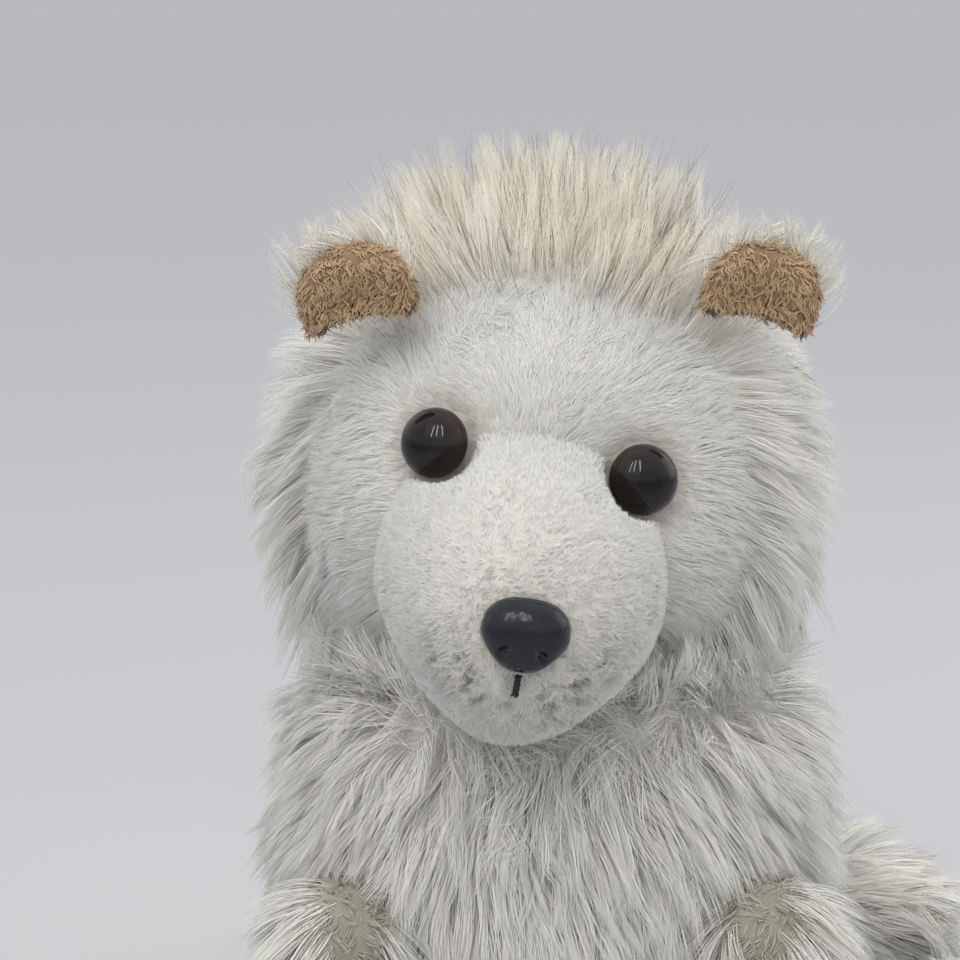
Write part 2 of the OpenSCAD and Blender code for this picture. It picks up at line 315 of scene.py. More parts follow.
def lathe(profile, around):
    # points and faces turned about +Z from (radius, height) pairs, closed at both ends on the axis
    points = [(0, 0, profile[0][1])]
    for radius, height in profile[1:-1]:
        points += circle(radius, around, height)
    points.append((0, 0, profile[-1][1]))
    faces, rings = [], len(profile) - 2
    for i in range(around):
        k = (i + 1) % around
        faces.append((0, 1 + k, 1 + i))
        for r in range(rings - 1):
            a = 1 + r * around
            faces.append((a + i, a + k, a + around + k, a + around + i))
        a = 1 + (rings - 1) * around
        faces.append((a + i, a + k, len(points) - 1))
    return np.array(points, float), faces


def turned(points, origin, axis, up):
    # local +Z to axis, local +Y as near to up as it can be
    axis = unit(np.array(axis, float))
    across = unit(np.cross(up, axis))
    high = np.cross(axis, across)
    return origin + points[:, :1] * across + points[:, 1:2] * high + points[:, 2:] * axis


pileTop = float(cadHigh[2]) + 0.0155
rootDepth = 0.0006  # how far a strand starts under its skin


def ripple(points, size, seed):
    # a smooth wandering field, about size metres from crest to crest
    pick = np.random.default_rng(seed)
    total = np.zeros_like(points)
    for octave in range(3):
        for k in range(3):
            wave = unit(pick.normal(size=3)) * 2 * math.pi / size * (1.7 ** octave)
            total[:, k] += np.sin(points @ wave + pick.uniform(0, 6.28)) * 0.6 ** octave
    return total / 1.6


def addAttribute(mesh, name, values):
    data = mesh.attributes.new(name, "FLOAT", "POINT").data
    data.foreach_set("value", values.astype(np.float32).ravel())


def strandMesh(name, lines, widths, up, roundness, shade, tint, paint, body):
    # three-sided tapering strands: lines is (strands, steps, 3)
    count, steps = lines.shape[:2]
    along = np.linspace(0, 1, steps)
    tangent = unit(np.gradient(lines, axis=1))
    side = unit(np.cross(tangent, unit(np.random.default_rng(5).normal(size=(count, 1, 3)))))
    other = np.cross(tangent, side)
    taper = np.minimum(1, 1.35 * (1 - along ** 2.2))[None, :, None] * widths[:, None, None]
    spokes = [math.cos(thirdTurn * k) * side + math.sin(thirdTurn * k) * other for k in range(3)]
    spokes = np.stack(spokes, axis=2)[:, :-1]
    rings = lines[:, :-1, None] + taper[:, :-1, None] * spokes
    points = np.concatenate([rings.reshape(count, -1, 3), lines[:, -1:]], axis=1)
    each = points.shape[1]
    corners, sizes, places = [], [], []
    last = 3 * (steps - 2)
    for s in range(steps - 2):
        for k in range(3):
            a, b = 3 * s + k, 3 * s + (k + 1) % 3
            corners += [a, b, b + 3, a + 3]
            sizes.append(4)
            places += [(k, s), (k + 1, s), (k + 1, s + 1), (k, s + 1)]
    for k in range(3):
        corners += [last + k, last + (k + 1) % 3, each - 1]
        sizes.append(3)
        places += [(k, steps - 2), (k + 1, steps - 2), (k + 0.5, steps - 1)]
    corners += [2, 1, 0]
    sizes.append(3)
    places += [(0, 0), (1, 0), (0.5, 0.2)]
    corners = (np.array(corners)[None] + each * np.arange(count)[:, None]).ravel()
    starts = np.concatenate([[0], np.cumsum(np.tile(sizes, count))[:-1]])
    cells = math.ceil(math.sqrt(count))
    cell = np.stack([np.arange(count) % cells, np.arange(count) // cells], axis=1)[:, None]
    inCell = 0.08 + 0.84 * np.array(places)[None] / [3, steps - 1]
    mesh = bpy.data.meshes.new(name)
    mesh.vertices.add(count * each)
    mesh.vertices.foreach_set("co", points.astype(np.float32).ravel())
    mesh.loops.add(len(corners))
    mesh.loops.foreach_set("vertex_index", corners.astype(np.int32))
    mesh.polygons.add(len(starts))
    mesh.polygons.foreach_set("loop_start", starts.astype(np.int32))
    mesh.update(calc_edges=True)
    mesh.shade_smooth()
    uv = mesh.uv_layers.new(name="OFBake")
    uv.data.foreach_set("uv", ((cell + inCell) / cells).astype(np.float32).ravel())
    ringAlong = np.concatenate([np.repeat(along[:-1], 3), [1]])
    if tint.ndim == 1:
        tint = tint[:, None] * np.ones((1, steps))
    tint = np.concatenate([np.repeat(tint[:, :-1], 3, axis=1), tint[:, -1:]], axis=1)
    addAttribute(mesh, "along", np.tile(ringAlong ** 0.7, (count, 1)))
    addAttribute(mesh, "shade", np.repeat(shade[:, None], each, axis=1))
    addAttribute(mesh, "tint", tint)
    # fine fibres pass light on to each other, so they shade partly as the surface they grow from
    outward = np.concatenate([spokes.reshape(count, -1, 3), tangent[:, -1:] * 0], axis=1)
    soft = unit(up[:, None] * (1 - roundness) + outward * roundness)
    normals = mesh.attributes.new("custom_normal", "FLOAT_VECTOR", "POINT")
    normals.data.foreach_set("vector", soft.astype(np.float32).ravel())
    mesh.materials.append(paint)
    piece = bpy.data.objects.new(name, mesh)
    bpy.context.scene.collection.objects.link(piece)
    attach(piece, body)
    return piece


def nearestLock(roots, chosen):
    tree = kdtree.KDTree(len(chosen))
    for i, c in enumerate(chosen):
        tree.insert(roots[c], i)
    tree.balance()
    return np.array([tree.find(p)[1] for p in roots])


def grow(name, skin, style, density, comb, paint, body, seed,
         length=None, lift=None, tint=None, stand=None):
    # density (per square millimetre), comb, length and lift are functions of points and normals
    pick = np.random.default_rng(seed)
    mesh = skin.data
    mesh.calc_loop_triangles()
    points = pointsOf(skin)
    normals = np.zeros(len(points) * 3, np.float32)
    mesh.vertices.foreach_get("normal", normals)
    normals = normals.reshape(-1, 3).astype(float)
    triangles = np.zeros(len(mesh.loop_triangles) * 3, np.int32)
    mesh.loop_triangles.foreach_get("vertices", triangles)
    triangles = triangles.reshape(-1, 3)
    a, b, c = (points[triangles[:, k]] for k in range(3))
    area = np.linalg.norm(np.cross(b - a, c - a), axis=1) / 2
    weight = area * 1e6 * density((a + b + c) / 3, unit(normals[triangles].mean(axis=1)))
    count = int(weight.sum())
    chosen = pick.choice(len(weight), count, p=weight / weight.sum())
    u, v = pick.random((2, count, 1))
    u, v = np.where(u + v > 1, 1 - u, u), np.where(u + v > 1, 1 - v, v)

    def mixed(values):
        p, q, r = values[triangles[chosen].T]
        return p * (1 - u - v) + q * u + r * v

    roots, up = mixed(points), unit(mixed(normals))
    locks = pick.choice(count, max(2, int(count / style["strandsInLock"])), replace=False)
    lock = nearestLock(roots, locks)
    wisps = pick.choice(count, max(2, int(count / style["strandsInWisp"])), replace=False)
    wisp = nearestLock(roots, wisps)
    # every lock has its own length, lean and wave
    lay = comb(roots, up)
    lockLean = pick.normal(size=(len(locks), 3)) * style["lockLean"]
    wispLean = pick.normal(size=(len(wisps), 3)) * style["wispLean"]
    lay = lay + lockLean[lock] + wispLean[wisp] + pick.normal(size=(count, 3)) * style["strandLean"]
    lay = unit(lay - up * (lay * up).sum(1, keepdims=True))
    angle = np.radians(lift(roots, up) if lift else np.full(count, float(style["lift"])))
    angle = angle * (1 + pick.normal(size=len(locks))[lock] * style.get("liftSpread", 0.15))
    start = unit(np.sin(angle)[:, None] * up + np.cos(angle)[:, None] * lay)
    upright = stand(roots) if stand else np.zeros(count)
    late = angle * (style["tipLift"] + (0.95 - style["tipLift"]) * upright)
    droop = np.array([0, 0, -style["fall"]]) * (1 - upright)[:, None]
    end = np.sin(late)[:, None] * up + np.cos(late)[:, None] * lay + droop
    end = unit(end + lockLean[lock] * 0.5 + pick.normal(size=(count, 3)) * style["strandLean"])
    size = (length(roots, up) if length else np.full(count, 1.0)) * style["length"]
    lockSize = 1 + style["lengthSpread"] * pick.uniform(-1, 1, len(locks))
    size = (size * lockSize[lock] * pick.uniform(0.72, 1.0, count))[:, None, None]
    t = np.linspace(0, 1, style["steps"])[None, :, None]
    bend = start[:, None] * (t - t * t / 2) + end[:, None] * t * t / 2
    lines = roots[:, None] - up[:, None] * rootDepth + size * bend
    wave = unit(np.cross(pick.normal(size=(len(locks), 3)), [0.3, 0.5, 0.8]))
    turns = pick.uniform(0.4, style["waves"], len(locks))[lock][:, None, None]
    phase = pick.uniform(0, fullTurn, len(locks))[lock][:, None, None]
    swing = style["waveSize"] * size * t * np.sin(fullTurn * turns * t + phase)
    lines += swing * wave[lock][:, None]
    if style.get("curl"):
        spin = pick.uniform(0, fullTurn, (count, 1, 1)) + fullTurn * style["curlTurns"] * t
        across = np.cross(start, up + 0.01)
        high = unit(np.cross(start, across))[:, None]
        coil = np.cos(spin) * unit(across)[:, None] + np.sin(spin) * high
        lines += style["curl"] * np.minimum(1, 3 * t) * coil
    gather = (wisp, wisps, style["wispPull"], 1.2), (lock, locks, style["lockPull"], 1.6)
    for member, heads, pull, late in gather:
        target = lines[heads][member]
        lines = lines + pull * t ** late * (target - lines)
    # nothing lies lower than the floor, or stands taller than the pile may
    floor = np.random.default_rng(seed).uniform(0.0004, 0.003, (count, 1))
    lines[..., 2] = np.maximum(lines[..., 2], floor)
    top = lines[..., 2].max(axis=1)
    share = np.clip((pileTop - roots[:, 2]) / np.maximum(top - roots[:, 2], 1e-5), 0, 1)
    shorter = roots[:, None] + (lines - roots[:, None]) * share[:, None, None]
    lines = np.where(top[:, None, None] > pileTop, shorter, lines)
    lockShade = 0.35 * pick.normal(size=len(locks))
    wispShade = 0.2 * pick.normal(size=len(wisps))
    shade = np.clip(0.5 + lockShade[lock] + wispShade[wisp], 0, 1)
    marks = tint(roots, lines) if tint else np.zeros(count)
    widths = style["width"] / 2 * pick.uniform(0.75, 1.25, count)
    roundness = style.get("roundness", 0.3)
    piece = strandMesh(name, lines, widths, up, roundness, shade, marks, paints[paint], body)
    print(name, count, "strands,", len(piece.data.polygons), "faces")
    return piece


longStyle = {
    "length": 0.0275, "lengthSpread": 0.16, "width": 0.00013, "steps": 6,
    "lift": 34, "tipLift": 0.5, "fall": 0.35,
    "strandsInLock": 26, "strandsInWisp": 6, "lockPull": 0.52, "wispPull": 0.40,
    "lockLean": 0.17, "wispLean": 0.10, "strandLean": 0.06, "waves": 1.0, "waveSize": 0.045,
}


torso = {
    "middle": (0, 0.020, 0.045), "lean": 20, "radius": 0.0505, "neckGap": 0.0008,
    "rise": (0, 0.020, 0.040, 0.062, 0.078, 0.090), "back": (0, 0, 0, 0, 0.004, 0.012),
    "share": (1, 1.0, 1.0, 0.985, 0.91, 0.74), "deep": (1, 1, 1, 0.98, 0.90, 0.72),
    "wide": (1.02, 1.02, 1.02, 1.04, 1.08, 1.18),
}


def makeTorso():
    lean = math.radians(torso["lean"])
    balls = []
    columns = (torso[key] for key in ("rise", "share", "deep", "wide", "back"))
    for rise, share, deep, wide, back in zip(*columns):
        spine = np.array([0, -math.sin(lean), math.cos(lean)])
        at = np.array(torso["middle"]) + rise * spine + [0, back, 0]
        r = torso["radius"] * share
        balls.append((at, (r * wide, r * deep, r * (0.75 if wide > 1.1 else 1))))
    skin = stuffed("torso_skin", balls, 0.0045, 6, paints["skin"])
    points = pointsOf(skin)
    points[:, 2] = np.maximum(points[:, 2], 0.0012)
    # the neck cups the head ball
    reach = points - headMiddle
    far = np.linalg.norm(reach, axis=1, keepdims=True)
    cup = headRadius + torso["neckGap"]
    points = np.where(far < cup, headMiddle + reach / far * cup, points)
    movePoints(skin, points)
    dress(skin, "torso", "long_pile", 0.75, "torso_cover", "torso_filling")
    return skin


torsoSkin = makeTorso()


def nearNeck(points):
    gap = np.linalg.norm(points - headMiddle, axis=1) - headRadius
    return (1 - smooth(gap, 0.003, 0.013)) * smooth(-points[:, 1], -0.01, 0.02)


def torsoComb(points, up):
    fan = np.zeros_like(points)
    fan[:, 0] = points[:, 0] * 5
    fan[:, 1] = np.where(points[:, 1] > 0.02, 0.25, -0.05)
    fan[:, 2] = -1
    fan[:, 2] += 1.7 * nearNeck(points)
    fan[:, 1] -= 0.6 * nearNeck(points)
    return fan + ripple(points, 0.07, 3) * 0.22 + ripple(points, 0.022, 4) * 0.20


def torsoLift(points, up):
    # locks stand out at the flanks and under the chin
    chin = smooth(points[:, 2], 0.112, 0.130) * smooth(-points[:, 1], 0.0, 0.03)
    flank = smooth(np.abs(points[:, 0]), 0.028, 0.046)
    return 27 + 32 * flank + 24 * chin + 14 * nearNeck(points)


def frontDensity(points, up):
    gap = np.linalg.norm(points - headMiddle, axis=1) - headRadius
    onTop = smooth(0.010 + gap, 0.009, 0.013)
    return np.where(points[:, 1] < 0.012, 3.0, 0.0) * (points[:, 2] > 0.004) * (0.6 + 0.4 * onTop)


def backDensity(points, up):
    return np.where(points[:, 1] >= 0.012, 0.75, 0.0) * (points[:, 2] > 0.004)


chestStyle = {
    **longStyle, "length": 0.0240, "lockLean": 0.19, "lockPull": 0.44, "waves": 1.4,
    "waveSize": 0.05, "strandsInLock": 22, "width": 0.00012, "roundness": 0.10}
backStyle = {**longStyle, "width": 0.00026, "length": 0.024}
for name, style, density, seed in (
    ("fur_chest", chestStyle, frontDensity, 11),
    ("fur_back", backStyle, backDensity, 12),
):
    grow(name, torsoSkin, style, density, torsoComb, "long", "torso", seed, lift=torsoLift)
print("torso done")


head = {"radius": 0.0505, "faceSkin": 0.0535}  # radii of the ball and of the face on it


def makeHead():
    r = head["radius"]
    jowls = headMiddle + [0, 0.004, -0.012], (r * 1.02, r * 0.93, r * 0.84)
    balls = [(headMiddle, (r * 1.03, r, r)), jowls]
    skin = stuffed("head_skin", balls, 0.0045, 4, paints["skin"])
    dress(skin, "head", "long_pile", 0.85, "head_back_cover", "head_filling")
    return skin


headSkin = makeHead()


def onFace(points):
    # how far a point is from the face's middle, as a share of the face's radius
    reach = points - faceMiddle
    return np.hypot(reach @ faceAcross, reach @ faceUp) / faceRadius


def crownShare(points):
    reach = points - headMiddle
    high = smooth(reach[:, 2], 0.026, 0.042)
    aside = smooth(np.abs(reach[:, 0] + 0.002), 0.022, 0.042)
    return high * (1 - aside) * (1 - smooth(reach[:, 1], 0.012, 0.034))


def headComb(points, up):
    reach = points - headMiddle
    out = unit(reach * [1, 0, 1])
    crown = crownShare(points)[:, None]
    high = smooth(reach[:, 2], 0.012, 0.042)[:, None]
    front = (smooth(-reach[:, 2], -0.005, 0.025) * smooth(-reach[:, 1], -0.01, 0.02))[:, None]
    side = out * 0.95 + np.array([0, 0.40, -0.85]) * (1 - high) + np.array([0, -1.1, 0.1]) * front
    tall = np.stack([reach[:, 0] * 9, np.full(len(points), -0.3), np.ones(len(points))], axis=1)
    return side * (1 - crown) + tall * crown + ripple(points, 0.05, 8) * 0.25


def headLift(points, up):
    reach = points - headMiddle
    rim = 1 - smooth(onFace(points), 0.95, 1.3)
    return 38 + 42 * crownShare(points) + 14 * rim * (reach[:, 1] < 0)


def headLength(points, up):
    reach = points - headMiddle
    low = smooth(-reach[:, 2], -0.005, 0.030)
    left = smooth(-reach[:, 0], 0.015, 0.045)
    longer = (0.42 * low + 0.16 * left * (1 - low)) * smooth(-reach[:, 1], -0.035, 0.005)
    return 0.82 + 0.22 * crownShare(points) + longer


def headDensityFront(points, up):
    reach = points - headMiddle
    outside = (onFace(points) > 0.93) | (reach[:, 1] > 0)
    return np.where(reach[:, 1] < 0.010, 2.3, 0.0) * outside


def headDensityBack(points, up):
    return np.where(points[:, 1] - headMiddle[1] >= 0.010, 0.75, 0.0)


def creamTint(points, lines):
    crown = crownShare(points)
    patch = np.clip(0.55 + 0.5 * ripple(points, 0.02, 21)[:, 0], 0, 1)
    return crown[:, None] * patch[:, None] * np.linspace(0.35, 1.0, lines.shape[1])[None] * 0.75


def strayDensity(points, up):
    return 0.16 * (crownShare(points) > 0.55) * ((points - headMiddle)[:, 1] > -0.030)


def strayComb(points, up):
    aside = (points - headMiddle)[:, 0] * 9
    return np.stack([aside, np.full(len(points), 0.1), np.ones(len(points))], axis=1)


headStyle = {
    **longStyle, "length": 0.0255, "fall": 0.22, "strandsInLock": 24,
    "width": 0.00012, "lockPull": 0.56, "roundness": 0.2}
napeStyle = {**headStyle, "width": 0.00026}
strayStyle = {
    **headStyle, "width": 0.00016, "length": 0.0265, "strandsInLock": 2, "strandsInWisp": 1.2,
    "lockPull": 0.1, "wispPull": 0.1, "steps": 7, "fall": 0.0, "lockLean": 0.12}
for name, style, density, comb, paint, seed, tint in (
    ("fur_ruff", headStyle, headDensityFront, headComb, "long", 21, creamTint),
    ("fur_nape", napeStyle, headDensityBack, headComb, "long", 22, creamTint),
    ("crown_strays", strayStyle, strayDensity, strayComb, "stray", 23, None),
):
    grow(name, headSkin, style, density, comb, paint, "head", seed,
         length=headLength, lift=headLift, tint=tint, stand=crownShare)
print("head done")


face = {"rings": 40, "around": 128, "thick": 0.003, "socket": 0.0032, "socketWidth": 0.011}


def makeFace():
    rings, around = face["rings"], face["around"]
    points, faces = [], []
    for layer in (0, 1):
        for j in range(rings + 1):
            share = j / rings
            for i in range(around):
                turn = 2 * math.pi * i / around
                radius = faceRadius * share * 0.995
                x, z = radius * math.cos(turn), radius * math.sin(turn)
                at = faceMiddle + faceAcross * x + faceUp * z
                flat = at - headMiddle
                ball = head["faceSkin"] - layer * face["thick"]
                edge = 0.0022 * share ** 6
                depth = math.sqrt(max(ball * ball - flat[0] ** 2 - flat[2] ** 2, 1e-5)) - edge * (1 - layer)
                # full cheeks and a soft brow
                swell = 0.0022 * math.exp(-((abs(x) - 0.029) / 0.014) ** 2 - ((z + 0.008) / 0.020) ** 2)
                brow = 0.0014 * math.exp(-((z - 0.024) / 0.010) ** 2 - (x / 0.026) ** 2)
                points.append(headMiddle + [flat[0], -depth - (swell + brow) * (1 - layer), flat[2]])
    points = np.array(points)
    ring = (rings + 1) * around
    for axis in eyeAxes:
        off = np.linalg.norm(np.cross(points[:ring] - headMiddle, axis), axis=1)
        ahead = (points[:ring] - headMiddle) @ axis > 0
        dent = face["socket"] * np.exp(-(off / face["socketWidth"]) ** 2) * ahead
        points[:ring] -= dent[:, None] * axis
    faces += [(a, d, c, b) for a, b, c, d in bands(rings, around)]
    faces += [(b, c, d, a) for a, b, c, d in bands(rings, around, ring)]
    for i in range(around):
        a, b = rings * around + i, rings * around + (i + 1) % around
        faces.append((a, b, ring + b, ring + a))
    skin = meshPiece("face_skin", points, faces, paints["faceSkin"])
    dress(skin, "head", "face_pile", 0.7, "face_panel")
    return skin


faceSkin = makeFace()
muzzle = {
    "low": 0.011, "ahead": 0.036, "droop": 2, "radius": 0.0282, "length": 0.0565,
    "roundness": 2.5, "rings": 60, "around": 120, "eyeRoom": 0.0088}
muzzleDroop = math.radians(muzzle["droop"])
muzzleAxis = faceAhead * math.cos(muzzleDroop) - faceUp * math.sin(muzzleDroop)
muzzleUp = faceUp * math.cos(muzzleDroop) + faceAhead * math.sin(muzzleDroop)
muzzleBase = faceMiddle - faceUp * muzzle["low"] + faceAhead * muzzle["ahead"]


def muzzlePlaces(points):
    reach = points - muzzleBase
    return reach @ faceAcross, reach @ muzzleUp, reach @ muzzleAxis


def faceComb(points, up):
    x, z, y = muzzlePlaces(points)
    out = faceAcross * x[:, None] + faceUp * (z[:, None] - 0.004)
    return unit(out) + np.array([0, 0, -0.25]) + ripple(points, 0.03, 31) * 0.22


def faceDensity(points, up):
    x, z, y = muzzlePlaces(points)
    clear = smooth(np.hypot(x, z), 0.0235, 0.0255) * smooth(eyeGaps(points), 0.0070, 0.0076).prod(0)
    outer = (np.linalg.norm(points - headMiddle, axis=1) > head["faceSkin"] - 0.006) & (up[:, 1] < 0)
    return 9.0 * clear * outer


def faceLength(points, up):
    near = (0.5 + 0.5 * smooth(eyeGaps(points), 0.008, 0.018)).prod(0)
    rim = onFace(points)
    below = smooth(-((points - faceMiddle) @ faceUp), 0.012, 0.034)
    return near * (0.9 + 0.5 * smooth(rim, 0.6, 1.0) + 1.5 * below * smooth(rim, 0.66, 0.98))


def faceLift(points, up):
    near = (1 - smooth(eyeGaps(points), 0.0075, 0.012)).max(0)
    below = smooth(-((points - faceMiddle) @ faceUp), 0.012, 0.032) * smooth(onFace(points), 0.7, 0.98)
    return 24 + 18 * smooth(onFace(points), 0.7, 1.0) + 26 * near + 28 * below


def socketPaintedShade(points, lines):
    # the face pile darkens round each eye: painted shade in the sockets
    return (0.55 * (1 - smooth(eyeGaps(points), 0.0065, 0.0125))).max(0)


faceStyle = {
    "length": 0.0076, "lengthSpread": 0.10, "width": 0.00010, "roundness": 0.2, "steps": 4,
    "lift": 26, "liftSpread": 0.08, "tipLift": 0.4, "fall": 0.30,
    "strandsInLock": 30, "strandsInWisp": 5, "lockPull": 0.22, "wispPull": 0.25,
    "lockLean": 0.10, "wispLean": 0.08, "strandLean": 0.06, "waves": 0.8, "waveSize": 0.02,
}
grow("fur_face", faceSkin, faceStyle, faceDensity, faceComb, "face", "head", 31,
     length=faceLength, lift=faceLift, tint=socketPaintedShade)
print("face done")


eye = {"radius": 0.007, "dome": 0.0056, "back": 0.0556, "shank": 0.012, "shankRadius": 0.00225}


def makeMuzzle():
    r, length, power, rings = muzzle["radius"], muzzle["length"], muzzle["roundness"], muzzle["rings"]
    profile = [(0, -0.004), (r * 0.8, -0.004), (r, -0.002)]
    for j in range(rings + 1):
        a = math.pi / 2 * j / rings
        profile.append((max(r * math.cos(a) ** (2 / power), 0), length * math.sin(a) ** (2 / power)))
    profile[-1] = (0, length)
    local, faces = lathe(profile, muzzle["around"])
    # a cleft and dimple under the nose, and a softly wandering surface
    x, y, z = local.T
    low = smooth(-y, 0.006, 0.030)
    x, y = x * (1 - 0.17 * low), y * (1 + 0.12 * low)
    front = smooth(z, 0.040, 0.054)
    cleft = np.exp(-(x / 0.0016) ** 2) * smooth(-y, 0.005, 0.008)
    z = z - 0.0016 * (cleft * (1 - smooth(-y, 0.0135, 0.018)) * front)
    bed = np.exp(-((x / 0.0085) ** 2 + ((y - 0.001) / 0.0075) ** 2) ** 1.5) * front
    z = z - 0.0012 * bed
    local = np.stack([x, y, z], axis=1)
    points = turned(local, muzzleBase, muzzleAxis, muzzleUp)
    points += ripple(points, 0.035, 41) * 0.00035
    gaze = unit(faceAhead + 0.20 * faceUp)
    for axis in eyeAxes:
        reach = points - (headMiddle + axis * eye["back"])
        along = (reach @ gaze)[:, None]
        off = reach - along * gaze
        far = np.linalg.norm(off, axis=1, keepdims=True)
        room = muzzle["eyeRoom"] * (1 - smooth(along, 0.014, 0.034)) * (along > -0.012)
        points += off / np.maximum(far, 1e-6) * np.maximum(0, room - far)
    skin = meshPiece("muzzle_skin", points, faces, paints["faceSkin"])
    dress(skin, "head", "muzzle_pile", 0.85, "muzzle_cover", "muzzle_filling")
    return skin


muzzleSkin = makeMuzzle()


def muzzleDensity(points, up):
    x, z, y = muzzlePlaces(points)
    far = np.linalg.norm(points - headMiddle, axis=1)
    buried = smooth(far, head["faceSkin"] - 0.001, head["faceSkin"] + 0.001)
    nose = smooth(np.hypot(x / 0.0074, (z - 0.001) / 0.0062), 0.95, 1.05)
    bare = np.where(y > 0.046, nose, 1.0)
    onStitch = (y > 0.046) & (np.abs(x) < 0.0007) & (z < -0.005) & (z > -0.0115)
    stitch = np.where(onStitch, 0.1, 1.0)
    clear = smooth(eyeGaps(points), 0.0068, 0.0074).prod(0)
    return 7.0 * buried * bare * stitch * clear


def muzzleComb(points, up):
    x, z, y = muzzlePlaces(points)
    out = faceAcross * (x[:, None] * 14)
    back = -muzzleAxis[None] * 0.8 + out + faceUp * ((z[:, None] - 0.001) * 14)
    return back + ripple(points, 0.012, 43) * 0.5


def smudgeTint(points, lines):
    # grey airbrushed shading in short streaks either side of the mouth
    x, z, y = muzzlePlaces(points)
    turn = np.degrees(np.arctan2(z + 0.001, x))
    ring = np.hypot(x * 0.92, z + 0.001)
    band = np.exp(-((ring - 0.0126) / 0.0040) ** 2) * (y > 0.03)
    left = np.exp(-((turn + 142) / 36) ** 2)
    right = np.exp(-((turn + 36) / 38) ** 2)
    coarse, fine = ripple(points, 0.006, 44)[:, 0], ripple(points, 0.0022, 45)[:, 1]
    streak = np.clip(coarse * 0.7 + fine * 0.7 + 0.15, 0, 1)
    return np.clip(band * (left + right) * streak * 1.35, 0, 0.85)


muzzleStyle = {
    "length": 0.0024, "lengthSpread": 0.10, "width": 0.00016, "roundness": 0.2, "steps": 3,
    "lift": 66, "liftSpread": 0.08, "tipLift": 0.75, "fall": 0.03,
    "strandsInLock": 12, "strandsInWisp": 3, "lockPull": 0.30, "wispPull": 0.30,
    "lockLean": 0.22, "wispLean": 0.2, "strandLean": 0.12, "waves": 0.8, "waveSize": 0.03,
}
for side, seed in ((1, 41), (-1, 42)):
    half = lambda p, n: muzzleDensity(p, n) * (((p - muzzleBase) @ faceAcross) * side >= 0)
    grow(f"pile_muzzle_{sides[side]}", muzzleSkin, muzzleStyle, half, muzzleComb,
         "muzzle", "head", seed, tint=smudgeTint)
print("muzzle done")


def eyePaint():
    paint = Paint("eyePlastic", Roughness=0.045, Specular_IOR_Level=0.30)
    reach = paint.attribute("reach")
    mottle = paint.noise(900) * 0.05
    pupil, iris, brim = (0.004, 0.004, 0.005), (0.011, 0.008, 0.009), (0.026, 0.016, 0.012)
    stops = (0.0, pupil), (0.36, pupil), (0.42, iris), (0.80, (0.012, 0.009, 0.009)), (0.97, brim)
    colour = paint.ramp(reach + mottle, *stops)
    return paint.finish(Base_Color=colour)


paints["eye"] = eyePaint()


def makeEye(name, axis, node):
    r, steps = eye["radius"], 40
    end, thin = -eye["shank"], eye["shankRadius"]
    profile = [(0, end), (thin, end), (thin, -0.0009), (r * 0.9, -0.0009), (r * 0.985, -0.0006), (r, 0)]
    for a in np.linspace(0, math.pi / 2, steps)[1:-1]:
        profile.append((r * math.cos(a), eye["dome"] * math.sin(a)))
    profile.append((0, eye["dome"]))
    local, faces = lathe(profile, 96)
    points = turned(local, headMiddle + axis * eye["back"], axis, faceUp)
    piece = meshPiece(name, points, faces, paints["eye"])
    off = np.hypot(local[:, 0] + 0.0004, local[:, 1] + 0.0003) / r
    addAttribute(piece.data, "reach", off)
    dress(piece, "head", "eye_plastic", None, node)
    return piece


for side, axis in zip(sides.values(), eyeAxes):
    makeEye(f"eye_dome_{side}", axis, f"eye_{side}")


nose = {
    "width": 0.0163, "height": 0.0138, "dome": 0.0056, "up": 0.001, "ahead": 0.056,
    "rings": 44, "around": 128}


def nosePaint():
    paint = Paint("nosePlastic", Specular_IOR_Level=0.32)
    grain = paint.noise(260, 5)
    colour = paint.mix(paint.noise(220), (0.005, 0.006, 0.009), (0.015, 0.018, 0.024))
    uneven = paint.bump(grain, 0.5, 0.0007)
    return paint.finish(Base_Color=colour, Roughness=0.04 + grain * 0.20, Normal=uneven)


paints["nose"] = nosePaint()


def makeNose():
    rings, around = nose["rings"], nose["around"]
    local, faces = [], []
    shape = []
    for i in range(around):
        a = 2 * math.pi * i / around
        x, y = math.cos(a), math.sin(a)
        flat = (abs(x) ** 2.5 + abs(y) ** 2.5) ** (-1 / 2.5)
        narrow = 1 - 0.30 * smooth(-y * flat, -0.1, 1.0)
        shape.append((x * flat * narrow * nose["width"] / 2, y * flat * nose["height"] / 2 - 0.0002))
    for j in range(rings + 1):
        share = j / rings
        for x, y in shape:
            px, py = x * share, y * share
            height = nose["dome"] * max(0, 1 - share ** 2.6) ** 0.52
            # comma nostrils low on each side, and a shallow groove between them
            u, v = abs(px) / (nose["width"] / 2), py / (nose["height"] / 2)
            across, down = (u - 0.42) / 0.15, (v + 0.36 + 0.5 * (u - 0.42)) / 0.17
            nostril = math.exp(-across ** 2 - down ** 2)
            groove = math.exp(-(u / 0.06) ** 2) * float(smooth(np.array(-v), 0.1, 0.5))
            local.append((px, py, height - 0.0015 * nostril * (share < 0.97) - 0.0004 * groove))
    faces += bands(rings, around)
    # the underside runs in to the shank
    shank = [(0.55, -0.0006), (0.28, -0.0008), (0.27, -0.011), (0.0, -0.011)]
    for share, height in shank:
        first = len(local)
        for x, y in shape:
            local.append((x * share, y * share, height))
        faces += bands(1, around, first - around)
    seat = muzzleBase + muzzleAxis * nose["ahead"] + muzzleUp * nose["up"]
    points = turned(np.array(local), seat, muzzleAxis, muzzleUp)
    piece = meshPiece("nose_button", points, faces, paints["nose"])
    dress(piece, "head", "nose_plastic", None, "nose")


makeNose()


